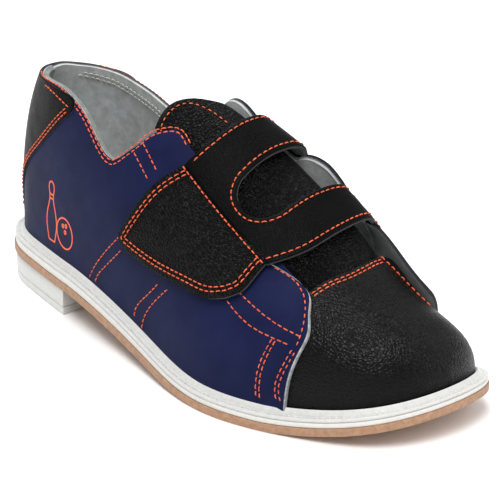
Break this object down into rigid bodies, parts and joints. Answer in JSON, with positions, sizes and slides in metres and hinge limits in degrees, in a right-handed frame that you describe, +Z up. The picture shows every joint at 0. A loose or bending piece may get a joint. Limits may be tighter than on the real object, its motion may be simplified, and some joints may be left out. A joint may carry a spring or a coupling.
{
  "type": "bowling shoe",
  "caption": "Right bowling shoe: leather upper over a smooth leather sole and rubber heel, closed by a forked hook-and-loop strap over a padded tongue.",
  "frame": {"origin": "on the floor, under the middle of the sole's length and width", "axes": "+Y towards the heel, +X towards the medial (inner) side, +Z up"},
  "size_m": [0.11, 0.2848, 0.1172],
  "materials": {
    "black_leather": "satin",
    "blue_leather": "satin",
    "grey_lining": "matte",
    "tan_leather_sole": "matte",
    "white_midsole": "matte",
    "white_welt": "matte",
    "heel_rubber": "matte",
    "steel": "satin",
    "cork_filler": "matte",
    "insole_board": "matte",
    "footbed_fabric": "matte",
    "stiffener_board": "matte",
    "foam": "matte",
    "hook_and_loop": "matte"
  },
  "bodies": {
    "root": {"outsole": "tan_leather_sole", "heel_block": "heel_rubber", "heel_top_lift": "heel_rubber", "heel_nails": "steel", "midsole": "white_midsole", "welt": "white_welt", "bottom_filler": "cork_filler", "shank": "steel", "insole_board": "insole_board", "footbed": "footbed_fabric", "vamp": "black_leather", "toe_puff": "stiffener_board", "vamp_lining": "grey_lining", "lateral_quarter": "blue_leather", "medial_quarter": "blue_leather", "backstay": "black_leather", "heel_stiffener": "stiffener_board", "lateral_lining": "grey_lining", "medial_lining": "grey_lining", "heel_lining": "grey_lining", "loop_pad": "hook_and_loop", "strap_anchor_upper": "black_leather", "strap_anchor_lower": "black_leather"},
    "strap_legs": {"strap_upper_leg": "black_leather", "strap_lower_leg": "black_leather", "strap_upper_leg_lining": "grey_lining", "strap_lower_leg_lining": "grey_lining"},
    "strap_flap": {"strap_flap": "black_leather", "strap_flap_lining": "grey_lining", "hook_pad": "hook_and_loop"},
    "tongue": {"tongue_leather": "black_leather", "tongue_foam": "foam", "tongue_lining": "grey_lining"}
  },
  "joints": [
    {"name": "strap_hinge", "type": "hinge", "parent": "root", "child": "strap_legs", "pos_m": [0.028, -0.035, 0.09655], "axis": [0, 0.8944, 0.4472], "range_deg": [0, 105]},
    {"name": "flap_peel", "type": "hinge", "parent": "strap_legs", "child": "strap_flap", "pos_m": [-0.02207, -0.03, 0.08467], "axis": [0.1325, 0.8974, 0.4209], "range_deg": [0, 40]},
    {"name": "tongue_tilt", "type": "hinge", "parent": "root", "child": "tongue", "pos_m": [0, -0.085, 0.052], "axis": [-1, 0, 0], "range_deg": [0, 12], "stiffness_Nm_per_rad": 0.4, "springref_deg": -2.86}
  ]
}
